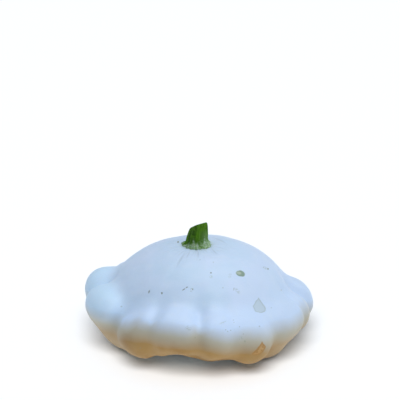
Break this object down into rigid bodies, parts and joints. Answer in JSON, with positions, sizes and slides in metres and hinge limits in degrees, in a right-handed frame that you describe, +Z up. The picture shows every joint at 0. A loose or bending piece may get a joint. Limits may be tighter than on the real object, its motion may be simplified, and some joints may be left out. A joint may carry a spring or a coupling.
{
  "type": "pattypan squash",
  "caption": "White pattypan (bush scallop) squash: a domed fruit ringed with rounded lobes, standing on its blossom end, with a short five-angled green stem cut on a slant.",
  "frame": {"origin": "middle of the whole squash's box in plan, on the surface it stands on", "axes": "+Z up along the fruit's axis to the stem, -Y towards the front lobes, +X to the right when looked at from the front"},
  "size_m": [0.1513, 0.1496, 0.0817],
  "materials": {
    "skin": "waxy white squash skin with a satin sheen, faint mottling and small healed scars",
    "stem": "green ribbed peduncle, paler and blotched at its foot, dry at the cut"
  },
  "bodies": {
    "root": {"fruit": "skin", "stem": "stem"}
  },
  "joints": []
}
